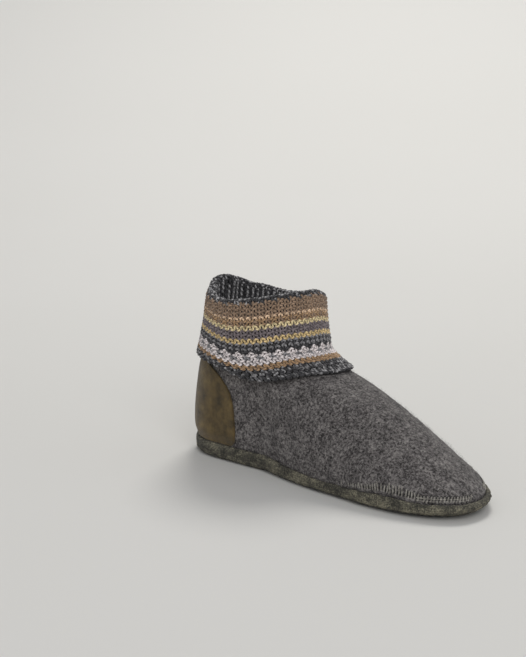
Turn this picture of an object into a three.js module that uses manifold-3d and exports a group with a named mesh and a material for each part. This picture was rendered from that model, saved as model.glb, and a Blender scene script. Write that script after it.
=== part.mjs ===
// Left ankle slipper of felted wool with a knitted cuff folded down over it, built in the pieces
// that a maker joins: rubber outsole, insole, felt upper, knitted cuff, heel patch and side tab.
// Millimetres. The toe points to +X, the outer side of the foot is +Y and the sole stands on z = 0.
import * as THREE from 'three';
import { mergeVertices } from 'three/addons/utils/BufferGeometryUtils.js';
import Module from 'manifold-3d';

const wasm = await Module();
wasm.setup();

// Driving dimensions
const soleLength = 262;
const ballWidth = 95;
const foldHeight = 126;
const feltThickness = 3.2;
const knitThickness = 3.8;
const soleThickness = 4.6;
const rimThickness = 2.2;
const heelRimHeight = 12.5;
const toeRimHeight = 9.5;
const insoleThickness = 4;
const patchThickness = 1.5;
const tabThickness = 0.8;
const clearance = 0.3;

// Shape of the sole's underside
const toeSpring = 1.4;
const archRise = 0.5;
const heelEdge = 6;
const ballEdge = 10;
const sideGroove = 0.7;
const treadPitch = 4.7;
const treadGrooveWidth = 1.8;
const treadGrooveDepth = 0.9;

// Felt above the rim swells out almost to the sole's edge
const feltOverhang = 0.8;
const swellHeight = 8;
// The toe leans to the inner side of the foot
const toeSwing = 8;

// Cuff: the felt stops inside it, and its courses of knitting are raised
const feltTopHeight = 96;
const courseCount = 15;
const courseRelief = 0.9;
const hemFlare = 1.4;
const cuffRoom = patchThickness + 2 * clearance;

// Heel patch and side tab
const patchReach = 61.5;
const patchHeight = 66;
const patchFoot = 15;
const tabLength = 28;
const tabHeight = 9;
const tabMiddle = 94;
const tabRise = 56;

// Mesh density: stations around a ring, and steps up the upper
const stations = 48;
const swellLevels = 3;
const bodyLevels = 10;

// Half widths of the sole plan, as shares of ballWidth, at shares of soleLength from the heel
const planTable = [
  { along: 0.0, outer: 0.4, inner: 0.4 },
  { along: 0.229, outer: 0.403, inner: 0.393 },
  { along: 0.336, outer: 0.398, inner: 0.385 },
  { along: 0.389, outer: 0.406, inner: 0.412 },
  { along: 0.439, outer: 0.423, inner: 0.437 },
  { along: 0.496, outer: 0.451, inner: 0.459 },
  { along: 0.573, outer: 0.484, inner: 0.472 },
  { along: 0.656, outer: 0.5, inner: 0.478 },
  { along: 0.763, outer: 0.5, inner: 0.491 },
  { along: 1.0, outer: 0.5, inner: 0.491 },
];

// Level sections of the upper and leg. height is a share of foldHeight, back and front are shares
// of soleLength, leg blends from the sole's plan to an oval of half width girth (share of
// ballWidth), and backRound and frontRound are the lengths of the rounded ends (shares of
// soleLength) with power the front one's fullness.
const levelTable = [
  { height: 0.000, back: 0.0000, front: 1.0000, leg: 0.00, girth: 0.387, backRound: 0.145, frontRound: 0.313, power: 2.20 },
  { height: 0.071, back: 0.0000, front: 1.0000, leg: 0.00, girth: 0.387, backRound: 0.145, frontRound: 0.313, power: 2.20 },
  { height: 0.103, back: 0.0000, front: 0.9910, leg: 0.00, girth: 0.387, backRound: 0.145, frontRound: 0.315, power: 2.20 },
  { height: 0.143, back: 0.0008, front: 0.9640, leg: 0.00, girth: 0.387, backRound: 0.145, frontRound: 0.320, power: 2.20 },
  { height: 0.206, back: -0.0011, front: 0.9130, leg: 0.05, girth: 0.387, backRound: 0.145, frontRound: 0.336, power: 2.15 },
  { height: 0.278, back: 0.0000, front: 0.8530, leg: 0.15, girth: 0.387, backRound: 0.145, frontRound: 0.351, power: 2.10 },
  { height: 0.357, back: 0.0038, front: 0.7860, leg: 0.35, girth: 0.387, backRound: 0.145, frontRound: 0.363, power: 2.05 },
  { height: 0.437, back: 0.0092, front: 0.7120, leg: 0.60, girth: 0.387, backRound: 0.145, frontRound: 0.351, power: 2.00 },
  { height: 0.516, back: 0.0160, front: 0.6200, leg: 0.80, girth: 0.387, backRound: 0.145, frontRound: 0.321, power: 2.00 },
  { height: 0.595, back: 0.0256, front: 0.5080, leg: 0.95, girth: 0.387, backRound: 0.149, frontRound: 0.275, power: 2.00 },
  { height: 0.675, back: 0.0350, front: 0.4370, leg: 1.00, girth: 0.392, backRound: 0.160, frontRound: 0.237, power: 2.00 },
  { height: 0.754, back: 0.0427, front: 0.4220, leg: 1.00, girth: 0.396, backRound: 0.168, frontRound: 0.214, power: 2.00 },
  { height: 0.857, back: 0.0530, front: 0.4090, leg: 1.00, girth: 0.400, backRound: 0.175, frontRound: 0.198, power: 2.00 },
  { height: 1.000, back: 0.0650, front: 0.4020, leg: 1.00, girth: 0.404, backRound: 0.175, frontRound: 0.190, power: 2.00 },
  { height: 1.127, back: 0.0720, front: 0.3990, leg: 1.00, girth: 0.406, backRound: 0.175, frontRound: 0.190, power: 2.00 },
];
const heelPower = 2.15;

// The slack cuff around the leg, in shares of foldHeight: top is the crest of its roll, fold the
// line where the outer face starts and hem its lower edge. room is its distance from the felt, as a
// share of cuffRoom, and flare how far the hem stands out, as a share of hemFlare. turn runs from the heel (0) by the outer
// side (0.25) and the toe side (0.5) to the inner side (0.75) and back.
const cuffTable = [
  { turn: 0.0, top: 1.075, fold: 0.985, hem: 0.620, room: 1.000, flare: 0.80 },
  { turn: 0.1, top: 1.005, fold: 0.960, hem: 0.610, room: 1.000, flare: 0.80 },
  { turn: 0.2, top: 0.960, fold: 0.930, hem: 0.580, room: 1.000, flare: 1.00 },
  { turn: 0.3, top: 0.990, fold: 0.950, hem: 0.570, room: 0.429, flare: 0.80 },
  { turn: 0.4, top: 1.015, fold: 0.975, hem: 0.575, room: 0.333, flare: 0.20 },
  { turn: 0.5, top: 1.070, fold: 1.030, hem: 0.590, room: 0.286, flare: 0.00 },
  { turn: 0.6, top: 1.060, fold: 1.020, hem: 0.585, room: 0.333, flare: 0.30 },
  { turn: 0.7, top: 1.025, fold: 0.985, hem: 0.555, room: 0.429, flare: 1.00 },
  { turn: 0.8, top: 1.000, fold: 0.965, hem: 0.590, room: 1.000, flare: 1.00 },
  { turn: 0.9, top: 1.025, fold: 0.975, hem: 0.605, room: 1.000, flare: 0.80 },
  { turn: 1.0, top: 1.075, fold: 0.985, hem: 0.620, room: 1.000, flare: 0.80 },
];

// Side outline of the heel patch: reach is a share of patchReach forward from the heel, at rise,
// a share of patchHeight above patchFoot
const patchTable = [
  { rise: 0.0, reach: 0.9 },
  { rise: 0.05, reach: 0.97 },
  { rise: 0.15, reach: 1.0 },
  { rise: 0.3, reach: 0.99 },
  { rise: 0.43, reach: 0.975 },
  { rise: 0.54, reach: 0.94 },
  { rise: 0.62, reach: 0.9 },
  { rise: 0.72, reach: 0.8 },
  { rise: 0.82, reach: 0.66 },
  { rise: 0.91, reach: 0.47 },
  { rise: 1.0, reach: 0.16 },
];

const colours = {
  rubber: 0x3f3e37,
  felt: 0x55524f,
  insole: 0x4a4846,
  knit: 0x7d6a5c,
  suede: 0x6f5a35,
  tab: 0x9c2a20,
};

// Smooth value of one column of a table at a place on its first column, with no overshoot where
// the column is level or turns
function columnAt(table, key, column, place) {
  const last = table.length - 1;
  const x = THREE.MathUtils.clamp(place, table[0][key], table[last][key]);
  let i = 0;
  while (i < last - 1 && x > table[i + 1][key]) i++;
  const rate = (a, b) => (table[b][column] - table[a][column]) / (table[b][key] - table[a][key]);
  const slope = (j) => {
    if (j === 0) return rate(0, 1);
    if (j === last) return rate(last - 1, last);
    return rate(j - 1, j) * rate(j, j + 1) > 0 ? rate(j - 1, j + 1) : 0;
  };
  const [low, high] = [table[i], table[i + 1]];
  const width = high[key] - low[key];
  const t = (x - low[key]) / width;
  const rest = 1 - t;
  const hold = low[column] * (1 + 2 * t) * rest * rest + high[column] * (1 + 2 * rest) * t * t;
  return hold + width * t * rest * (slope(i) * rest - slope(i + 1) * t);
}

// Share of the full width at a distance in from a rounded end
function roundedEnd(distance, length, power) {
  const away = 1 - THREE.MathUtils.clamp(distance / length, 0, 1);
  return Math.pow(1 - Math.pow(away, power), 1 / power);
}

// A ring is walked by turn from 0 to 1; this gives its place from heel (0) to toe (1) and its side
function stationOf(turn) {
  const wrapped = turn - Math.floor(turn);
  return wrapped <= 0.5 ? { along: 2 * wrapped, side: 1 } : { along: 2 - 2 * wrapped, side: -1 };
}

// Rise of the sole's underside above the floor: toe spring at the front and a low arch
function soleLift(x) {
  const toe = THREE.MathUtils.clamp((x / soleLength - 0.82) / 0.18, 0, 1);
  const arch = Math.sin(Math.PI * THREE.MathUtils.clamp((x / soleLength - 0.27) / 0.19, 0, 1));
  return toeSpring * toe * toe + archRise * arch * arch;
}

// Sideways place of the plan's centre line
function centreLine(x) {
  const toe = THREE.MathUtils.clamp((x / soleLength - 0.67) / 0.33, 0, 1);
  return -toeSwing * toe * toe;
}

// Height of the sole's rim over its underside, higher at the heel than at the toe
function rimHeightAt(along) {
  const forward = THREE.MathUtils.smoothstep(along, 0.38, 0.56);
  return THREE.MathUtils.lerp(heelRimHeight, toeRimHeight, forward);
}

// Width of the rolled edge under the sole, which is rounder under the ball of the foot
function edgeRoundAt(along) {
  return THREE.MathUtils.lerp(heelEdge, ballEdge, THREE.MathUtils.smoothstep(along, 0.4, 0.6));
}

// Point of a level section that is drawn in by inset from the full body
function sectionPoint(height, turn, inset) {
  const { along, side } = stationOf(turn);
  const level = (column) => columnAt(levelTable, 'height', column, height / foldHeight);
  const back = level('back') * soleLength + inset;
  const front = level('front') * soleLength - inset;
  const x = back + ((front - back) * (1 - Math.cos(Math.PI * along))) / 2;
  const plan = columnAt(planTable, 'along', side > 0 ? 'outer' : 'inner', x / soleLength);
  const half = THREE.MathUtils.lerp(plan, level('girth'), level('leg')) * ballWidth - inset;
  const heel = roundedEnd(x - back, level('backRound') * soleLength, heelPower);
  const toe = roundedEnd(front - x, level('frontRound') * soleLength, level('power'));
  const low = 1 - THREE.MathUtils.smoothstep(height / foldHeight, 0.08, 0.55);
  return new THREE.Vector3(x, centreLine(x) * low + side * half * heel * toe, height + soleLift(x) * low);
}

// Outer face of the felt: inside the sole's rim, then swelling out above it
function feltPoint(height, turn) {
  const above = height - rimHeightAt(stationOf(turn).along) - 2 * clearance;
  const swell = THREE.MathUtils.smoothstep(above, 0, swellHeight);
  const inset = THREE.MathUtils.lerp(rimThickness + clearance, feltOverhang, swell);
  return sectionPoint(height, turn, inset);
}

// Outward direction of the felt's face, level near the sole
function feltNormal(height, turn) {
  const nudge = 0.004;
  const rise = 0.6;
  const ahead = feltPoint(height, turn + nudge).sub(feltPoint(height, turn - nudge));
  const up = feltPoint(height + rise, turn).sub(feltPoint(Math.max(height - rise, 0), turn));
  const normal = new THREE.Vector3().crossVectors(up, ahead).normalize();
  normal.z *= THREE.MathUtils.smoothstep(height, heelRimHeight, heelRimHeight + swellHeight);
  return normal.normalize();
}

// Point at a distance out from the felt's outer face, or in where it is negative
function offsetPoint(height, turn, distance) {
  return feltPoint(height, turn).addScaledVector(feltNormal(height, turn), distance);
}

// A ring of points, one for each station
function ringOf(count, pointAt) {
  return Array.from({ length: count }, (_, i) => pointAt(i / count));
}

// Closed mesh through rings of equal count. It ends in caps, or in itself where it is a tube wall
function loftRings(rings, capped) {
  const count = rings[0].length;
  const positions = rings.flat().flatMap((p) => [p.x, p.y, p.z]);
  const faces = [];
  const lofts = capped ? rings.length - 1 : rings.length;
  for (let r = 0; r < lofts; r++) {
    const here = r * count;
    const next = ((r + 1) % rings.length) * count;
    for (let i = 0; i < count; i++) {
      const j = (i + 1) % count;
      faces.push(here + i, here + j, next + j, here + i, next + j, next + i);
    }
  }
  if (capped) {
    const top = (rings.length - 1) * count;
    for (let i = 0; i < count / 2; i++) {
      const [a, b] = [i, i + 1];
      const [c, d] = [(count - i) % count, count - i - 1];
      if (i > 0) faces.push(a, c, b, top + a, top + b, top + c);
      if (b !== d) faces.push(b, c, d, top + b, top + d, top + c);
    }
  }
  return facing(positions, faces);
}

// Buffer geometry with its faces turned outwards
function facing(positions, faces) {
  let volume = 0;
  const at = (i) => new THREE.Vector3().fromArray(positions, 3 * i);
  for (let i = 0; i < faces.length; i += 3) {
    volume += at(faces[i]).dot(at(faces[i + 1]).cross(at(faces[i + 2])));
  }
  const turned = volume < 0 ? faces.slice().reverse() : faces;
  const geometry = new THREE.BufferGeometry();
  geometry.setAttribute('position', new THREE.Float32BufferAttribute(positions, 3));
  geometry.setIndex(turned);
  return geometry;
}

// Solid for boolean work from a closed geometry
function solidFrom(geometry) {
  const bare = geometry.clone();
  for (const name of ['normal', 'uv']) bare.deleteAttribute(name);
  const merged = mergeVertices(bare, 1e-4);
  return new wasm.Manifold(
    new wasm.Mesh({
      numProp: 3,
      vertProperties: new Float32Array(merged.attributes.position.array),
      triVerts: new Uint32Array(merged.index.array),
    }),
  );
}

// Geometry of a boolean result
function geometryFrom(solid) {
  const mesh = solid.getMesh();
  const geometry = new THREE.BufferGeometry();
  geometry.setAttribute('position', new THREE.Float32BufferAttribute(mesh.vertProperties, 3));
  geometry.setIndex(Array.from(mesh.triVerts));
  return geometry;
}

// Outsole: a shallow rubber cup with a rolled edge, a groove round its side and a recessed floor
function outsoleGeometry() {
  const grooveHeight = soleThickness + 0.6;
  const profile = [
    { edge: 1, rise: 0 },
    { edge: 0.45, rise: 1.1 },
    { edge: 0.15, rise: 2.6 },
    { inset: 0, rise: grooveHeight - 0.9 },
    { inset: sideGroove, rise: grooveHeight },
    { inset: 0, rise: grooveHeight + 0.9 },
    { inset: 0.2, top: -0.9 },
    { inset: rimThickness * 0.4, top: 0 },
    { inset: rimThickness, top: -0.2 },
    { inset: rimThickness, rise: soleThickness },
  ];
  const rings = profile.map(({ edge, inset, rise, top }) =>
    ringOf(stations, (turn) => {
      const { along } = stationOf(turn);
      const height = rise ?? rimHeightAt(along) + top;
      const point = sectionPoint(0, turn, inset ?? edge * edgeRoundAt(along));
      return point.setZ(point.z + height);
    }),
  );
  return loftRings(rings, true);
}

// One straight tread groove across the sole, cut into its underside at x
function treadGroove(x) {
  const cut = new THREE.Shape();
  cut.moveTo(-treadGrooveWidth, -treadGrooveDepth);
  cut.lineTo(treadGrooveWidth, -treadGrooveDepth);
  cut.lineTo(0, treadGrooveDepth);
  cut.closePath();
  const groove = new THREE.ExtrudeGeometry(cut, { depth: ballWidth * 1.2, bevelEnabled: false });
  groove.translate(0, 0, -ballWidth * 0.6);
  groove.rotateX(Math.PI / 2);
  groove.translate(x, 0, soleLift(x));
  return groove;
}

// The outsole with its tread from the waist to the toe
function treadedOutsole() {
  let sole = solidFrom(outsoleGeometry());
  const start = soleLength * 0.36;
  const end = soleLength - ballEdge - treadPitch;
  for (let x = start; x < end; x += treadPitch) sole = sole.subtract(solidFrom(treadGroove(x)));
  return geometryFrom(sole);
}

// Insole: a felt board on the outsole's floor, inside the upper
function insoleGeometry() {
  const floor = soleThickness + clearance;
  const edge = -(feltThickness + clearance);
  const levels = [
    { height: floor, distance: edge },
    { height: floor + insoleThickness - 0.8, distance: edge },
    { height: floor + insoleThickness, distance: edge - 0.9 },
  ];
  const rings = levels.map(({ height, distance }) =>
    ringOf(stations, (turn) => offsetPoint(height, turn, distance)),
  );
  return loftRings(rings, true);
}

// Heights of the felt's rings at one turn, from the outsole's floor to the top edge: close together
// where the felt swells out over the rim, and following the rim along the shoe
function feltHeights(turn) {
  const floor = soleThickness + clearance;
  const rim = rimHeightAt(stationOf(turn).along) + 2 * clearance;
  const body = rim + swellHeight;
  const steps = (low, high, count) =>
    Array.from({ length: count }, (_, i) => THREE.MathUtils.lerp(low, high, (i + 1) / count));
  return [
    floor,
    ...steps(floor, rim, 1),
    ...steps(rim, body, swellLevels),
    ...steps(body, feltTopHeight, bodyLevels),
  ];
}

// Rings of the felt's surface at a distance out from its outer face
function feltRings(distance) {
  const heights = ringOf(stations, feltHeights);
  return heights[0].map((_, level) =>
    ringOf(stations, (turn) => offsetPoint(feltHeights(turn)[level], turn, distance)),
  );
}

// Felt upper: one hollow wall, open at the collar and underneath
function upperGeometry() {
  const outer = feltRings(0);
  const inner = feltRings(-feltThickness);
  const last = outer.length - 1;
  inner[last].forEach((point, i) => point.setZ(outer[last][i].z));
  return loftRings([...outer, ...inner.reverse()], false);
}

// Section of the cuff at one turn: up the inner face, over the roll, down the raised courses of
// the outer face to the hem, and back up the face that looks at the felt
function cuffSection(turn) {
  const line = (column) => columnAt(cuffTable, 'turn', column, turn) * foldHeight;
  const [top, fold, hem] = ['top', 'fold', 'hem'].map(line);
  const room = columnAt(cuffTable, 'turn', 'room', turn) * cuffRoom;
  const spread = columnAt(cuffTable, 'turn', 'flare', turn) * hemFlare;
  const foot = feltTopHeight + clearance;
  const inside = -feltThickness;
  const outside = room + knitThickness;
  const rollRadius = (outside - inside) / 2;
  const rollHeight = top - rollRadius;
  const section = [];
  const add = (height, distance) => section.push(offsetPoint(height, turn, distance));
  for (const step of [0, 0.35, 0.7]) add(THREE.MathUtils.lerp(foot, rollHeight, step), inside);
  for (const step of [0, 0.25, 0.5, 0.75, 1]) {
    const angle = Math.PI * (1 - step);
    add(rollHeight + rollRadius * Math.sin(angle), inside + rollRadius * (1 + Math.cos(angle)));
  }
  const start = Math.min(fold, rollHeight) - 1;
  for (let course = 0; course <= 2 * courseCount; course++) {
    const down = course / (2 * courseCount);
    const raised = course % 2 === 0 ? 0 : courseRelief;
    const flare = spread * down * down;
    add(THREE.MathUtils.lerp(start, hem, down), outside - courseRelief + raised + flare);
  }
  add(hem, room + spread + 0.8);
  for (const step of [0, 0.33, 0.66, 1]) {
    const flare = spread * (1 - step) * (1 - step);
    add(THREE.MathUtils.lerp(hem + 0.8, foot, step), room + flare);
  }
  section[0].setZ(foot);
  section[section.length - 1].setZ(foot);
  return section;
}

// Knitted cuff: a ring with the section of a folded sock top
function cuffGeometry() {
  const sections = ringOf(stations, cuffSection);
  const rings = sections[0].map((_, k) => sections.map((section) => section[k]));
  return loftRings(rings, false);
}

// Part of a skin laid on the felt, cut out by an outline seen from the side. It is taken from the
// outer side of the foot, or from both sides
function skinPiece(thickness, outline, bothSides) {
  const skin = solidFrom(loftRings(feltRings(clearance + thickness), true)).subtract(
    solidFrom(loftRings(feltRings(clearance), true)),
  );
  const depth = bothSides ? 2 * ballWidth : ballWidth;
  const prism = new THREE.ExtrudeGeometry(outline, { depth, bevelEnabled: false });
  prism.rotateX(Math.PI / 2);
  prism.translate(0, ballWidth, 0);
  return skin.intersect(solidFrom(prism));
}

// Heel patch: a thin piece laid round the heel on the felt, both its sides cut to one outline
function heelPatchGeometry() {
  const edge = patchTable.map(
    ({ rise, reach }) => new THREE.Vector2(patchReach * reach, patchFoot + patchHeight * rise),
  );
  const outline = new THREE.Shape([
    new THREE.Vector2(-ballWidth, patchFoot),
    ...edge,
    new THREE.Vector2(-ballWidth, patchFoot + patchHeight),
  ]);
  return geometryFrom(skinPiece(patchThickness, outline, true));
}

// Side tab: a plain woven strip sewn flat on the outer side under the cuff's hem
function sideTabGeometry() {
  const [left, right] = [tabMiddle - tabLength / 2, tabMiddle + tabLength / 2];
  const [low, high] = [tabRise - tabHeight / 2, tabRise + tabHeight / 2];
  const outline = new THREE.Shape([
    new THREE.Vector2(left, low),
    new THREE.Vector2(right, low),
    new THREE.Vector2(right, high),
    new THREE.Vector2(left, high),
  ]);
  return geometryFrom(skinPiece(tabThickness, outline, false));
}

// Named mesh with its material, set back so that the frame's origin is under the slipper's middle
function piece(name, geometry, color, roughness) {
  const material = new THREE.MeshStandardMaterial({ color, roughness, metalness: 0 });
  const mesh = new THREE.Mesh(geometry, material);
  mesh.name = name;
  mesh.position.set(-soleLength / 2, 0, 0);
  return mesh;
}

const slipper = new THREE.Group();
slipper.add(
  piece('outsole', treadedOutsole(), colours.rubber, 0.85),
  piece('insole', insoleGeometry(), colours.insole, 0.95),
  piece('upper', upperGeometry(), colours.felt, 0.95),
  piece('cuff', cuffGeometry(), colours.knit, 0.95),
  piece('heel_patch', heelPatchGeometry(), colours.suede, 0.9),
  piece('side_tab', sideTabGeometry(), colours.tab, 0.8),
);

export default slipper;
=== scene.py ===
"""Looks of the felt slipper: felted wool upper, knitted cuff, suede heel patch and rubber cup sole."""

import logging
import math
from dataclasses import dataclass, field
from enum import Enum

import bmesh
import bpy
import numpy as np
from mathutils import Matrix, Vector


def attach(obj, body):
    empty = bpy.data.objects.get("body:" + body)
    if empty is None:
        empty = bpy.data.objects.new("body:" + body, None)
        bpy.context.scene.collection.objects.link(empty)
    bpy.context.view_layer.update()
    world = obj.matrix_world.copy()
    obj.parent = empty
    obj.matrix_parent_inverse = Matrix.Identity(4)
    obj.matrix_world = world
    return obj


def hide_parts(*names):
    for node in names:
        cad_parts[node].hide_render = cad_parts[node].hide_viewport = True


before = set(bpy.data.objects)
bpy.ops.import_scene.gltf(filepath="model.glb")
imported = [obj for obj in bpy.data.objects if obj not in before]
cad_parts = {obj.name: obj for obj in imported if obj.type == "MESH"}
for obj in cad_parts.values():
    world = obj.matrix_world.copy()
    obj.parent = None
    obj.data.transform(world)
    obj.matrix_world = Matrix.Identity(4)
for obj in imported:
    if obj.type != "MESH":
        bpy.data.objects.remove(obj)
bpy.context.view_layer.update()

logging.basicConfig(level=logging.INFO, format="%(message)s")
log = logging.getLogger("slipper")

MM = 0.001


# Shape of the last
def smoothstep(value: np.ndarray, low: float, high: float) -> np.ndarray:
    """Smooth step from 0 at low to 1 at high.

    Args:
        value: places to read.
        low: where the step starts.
        high: where the step ends.

    Returns:
        The step at each place.
    """
    t = np.clip((np.asarray(value, float) - low) / (high - low), 0.0, 1.0)
    return t * t * (3.0 - 2.0 * t)


def mix(low: np.ndarray, high: np.ndarray, share: np.ndarray) -> np.ndarray:
    """Value that lies a share of the way from low to high."""
    return low + (high - low) * share


@dataclass(frozen=True)
class Chart:
    """A short table with named columns, read as smooth curves over its first column."""

    columns: tuple[str, ...]
    rows: tuple[tuple[float, ...], ...]

    def read(self, column: str, place: np.ndarray) -> np.ndarray:
        """Reads one column.

        Args:
            column: the column's name.
            place: places on the first column.

        Returns:
            The column's value at each place, with no overshoot where it is level or turns.
        """
        table = np.array(self.rows)
        xs, ys = table[:, 0], table[:, self.columns.index(column)]
        rates = np.diff(ys) / np.diff(xs)
        slopes = np.concatenate([rates[:1], np.zeros(len(xs) - 2), rates[-1:]])
        wide = (ys[2:] - ys[:-2]) / (xs[2:] - xs[:-2])
        slopes[1:-1] = np.where(rates[:-1] * rates[1:] > 0, wide, 0.0)
        x = np.clip(place, xs[0], xs[-1])
        i = np.clip(np.searchsorted(xs, x) - 1, 0, len(xs) - 2)
        width = xs[i + 1] - xs[i]
        t = (x - xs[i]) / width
        rest = 1.0 - t
        hold = ys[i] * (1 + 2 * t) * rest**2 + ys[i + 1] * (1 + 2 * rest) * t**2
        return hold + width * t * rest * (slopes[i] * rest - slopes[i + 1] * t)


PLAN = Chart(
    ("along", "outer", "inner"),
    (
        (0.0, 0.4, 0.4),
        (0.229, 0.403, 0.393),
        (0.336, 0.398, 0.385),
        (0.389, 0.406, 0.412),
        (0.439, 0.423, 0.437),
        (0.496, 0.451, 0.459),
        (0.573, 0.484, 0.472),
        (0.656, 0.5, 0.478),
        (0.763, 0.5, 0.491),
        (1.0, 0.5, 0.491),
    ),
)

LEVELS = Chart(
    ("height", "back", "front", "leg", "girth", "back_round", "front_round", "power"),
    (
        (0.0, 0.0, 1.0, 0.0, 0.387, 0.145, 0.313, 2.2),
        (0.071, 0.0, 1.0, 0.0, 0.387, 0.145, 0.313, 2.2),
        (0.103, 0.0, 0.991, 0.0, 0.387, 0.145, 0.315, 2.2),
        (0.143, 0.0008, 0.964, 0.0, 0.387, 0.145, 0.32, 2.2),
        (0.206, -0.0011, 0.913, 0.05, 0.387, 0.145, 0.336, 2.15),
        (0.278, 0.0, 0.853, 0.15, 0.387, 0.145, 0.351, 2.1),
        (0.357, 0.0038, 0.786, 0.35, 0.387, 0.145, 0.363, 2.05),
        (0.437, 0.0092, 0.712, 0.6, 0.387, 0.145, 0.351, 2.0),
        (0.516, 0.016, 0.62, 0.8, 0.387, 0.145, 0.321, 2.0),
        (0.595, 0.0256, 0.508, 0.95, 0.387, 0.149, 0.275, 2.0),
        (0.675, 0.035, 0.437, 1.0, 0.392, 0.16, 0.237, 2.0),
        (0.754, 0.0427, 0.422, 1.0, 0.396, 0.168, 0.214, 2.0),
        (0.857, 0.053, 0.409, 1.0, 0.4, 0.175, 0.198, 2.0),
        (1.0, 0.065, 0.402, 1.0, 0.404, 0.175, 0.19, 2.0),
        (1.127, 0.072, 0.399, 1.0, 0.406, 0.175, 0.19, 2.0),
    ),
)

CUFF = Chart(
    ("turn", "top", "fold", "hem", "room", "flare"),
    (
        (0.0, 1.075, 0.985, 0.62, 1.0, 0.8),
        (0.1, 1.005, 0.96, 0.61, 1.0, 0.8),
        (0.2, 0.96, 0.93, 0.58, 1.0, 1.0),
        (0.3, 0.99, 0.95, 0.57, 0.429, 0.8),
        (0.4, 1.015, 0.975, 0.575, 0.333, 0.2),
        (0.5, 1.07, 1.03, 0.59, 0.286, 0.0),
        (0.6, 1.06, 1.02, 0.585, 0.333, 0.3),
        (0.7, 1.025, 0.985, 0.555, 0.429, 1.0),
        (0.8, 1.0, 0.965, 0.59, 1.0, 1.0),
        (0.9, 1.025, 0.975, 0.605, 1.0, 0.8),
        (1.0, 1.075, 0.985, 0.62, 1.0, 0.8),
    ),
)

PATCH = Chart(
    ("rise", "reach"),
    (
        (0.0, 0.9),
        (0.05, 0.97),
        (0.15, 1.0),
        (0.3, 0.99),
        (0.43, 0.975),
        (0.54, 0.94),
        (0.62, 0.9),
        (0.72, 0.8),
        (0.82, 0.66),
        (0.91, 0.47),
        (1.0, 0.16),
    ),
)


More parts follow.
